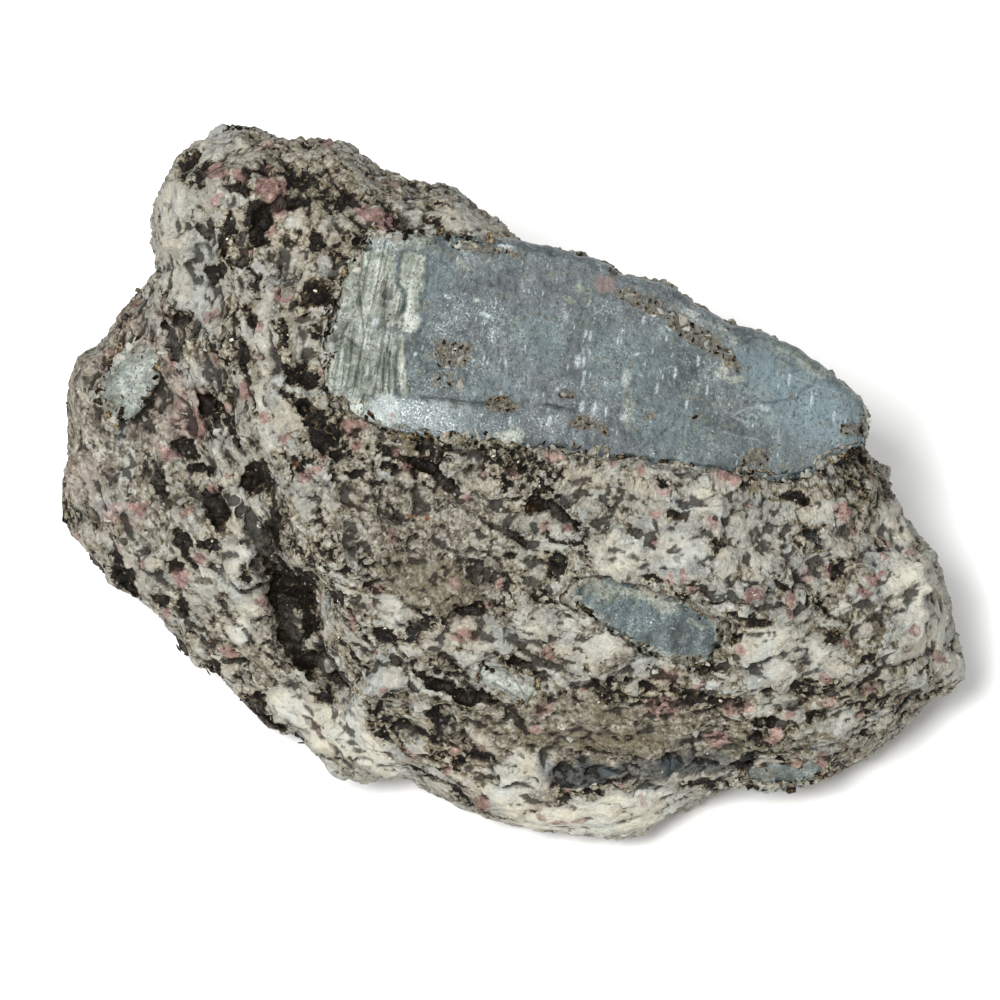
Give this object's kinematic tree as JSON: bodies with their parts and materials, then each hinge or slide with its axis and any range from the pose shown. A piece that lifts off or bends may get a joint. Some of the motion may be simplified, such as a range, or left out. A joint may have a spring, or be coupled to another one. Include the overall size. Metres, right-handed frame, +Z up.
{
  "type": "kyanite in matrix",
  "caption": "Loose hand specimen of garnet-biotite gneiss with blue-grey kyanite blades set in it, lying on the flat break of its underside.",
  "frame": {"origin": "under the middle of the specimen's bounding box, on the surface it lies on", "axes": "+X along the specimen towards its pointed end, +Y away from the viewer, +Z up off the flat underside; the display face looks up and towards -Y"},
  "size_m": [0.0804, 0.0576, 0.0448],
  "materials": {
    "gneiss": "rough broken grains",
    "kyanite_blue_grey": "vitreous to pearly cleavage",
    "kyanite_pale": "vitreous to pearly cleavage"
  },
  "bodies": {
    "root": {"gneiss_matrix": "gneiss", "kyanite_blade_main": "kyanite_blue_grey", "kyanite_blade_lower": "kyanite_blue_grey", "kyanite_prism_pale": "kyanite_pale", "kyanite_blade_lobe": "kyanite_pale", "kyanite_blade_edge": "kyanite_pale"}
  },
  "joints": []
}
